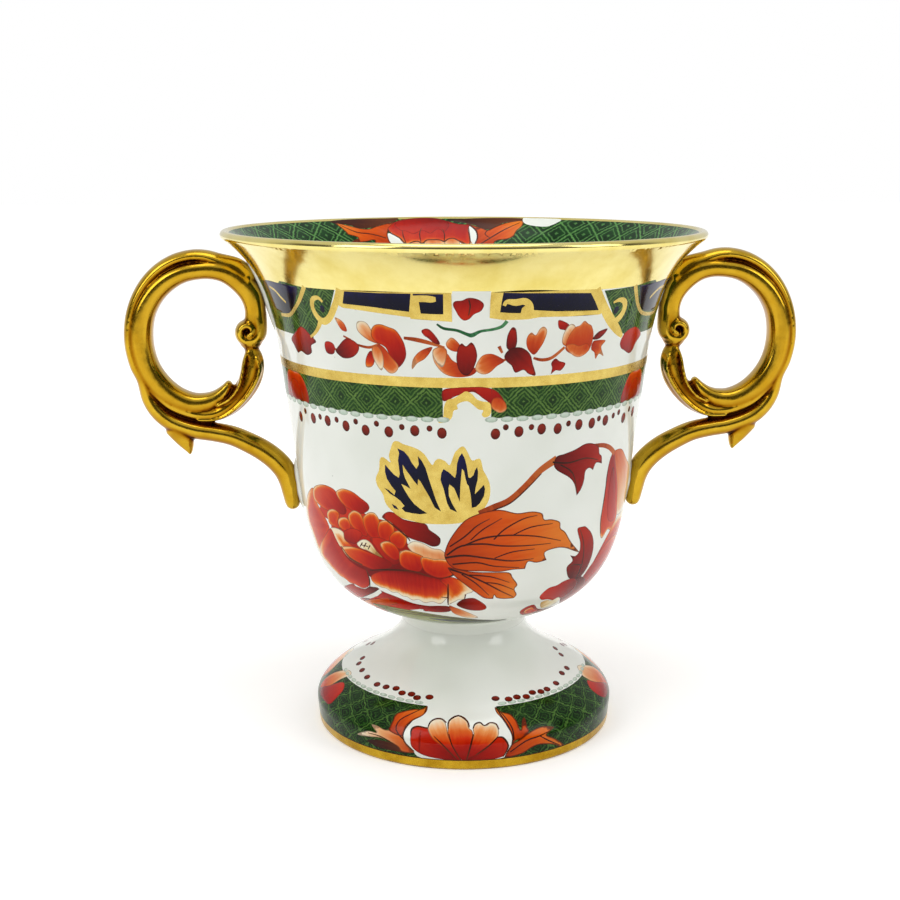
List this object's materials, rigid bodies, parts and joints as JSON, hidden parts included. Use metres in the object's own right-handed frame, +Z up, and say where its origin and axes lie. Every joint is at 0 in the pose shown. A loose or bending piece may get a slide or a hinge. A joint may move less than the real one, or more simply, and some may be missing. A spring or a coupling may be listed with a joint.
{
  "type": "two-handled goblet",
  "caption": "Small porcelain goblet with a flared bowl on a domed foot and two gilt scroll handles, painted with flowers, green diaper bands and gilding.",
  "frame": {"origin": "centre of the foot ring, on the table", "axes": "+Z up along the axis of the bowl, +X through the right handle, the painted front faces -Y"},
  "size_m": [0.1526, 0.108, 0.114],
  "materials": {
    "porcelain": "clear glaze over white porcelain, with overglaze enamel painting and gilding",
    "gilt_porcelain": "porcelain gilded all over, satin",
    "slip": "fired porcelain slip under the glaze"
  },
  "bodies": {
    "root": {"bowl": "porcelain", "foot": "porcelain", "foot_slip_joint": "slip", "left_handle": "gilt_porcelain", "right_handle": "gilt_porcelain", "left_handle_upper_slip": "slip", "left_handle_lower_slip": "slip", "right_handle_upper_slip": "slip", "right_handle_lower_slip": "slip"}
  },
  "joints": []
}
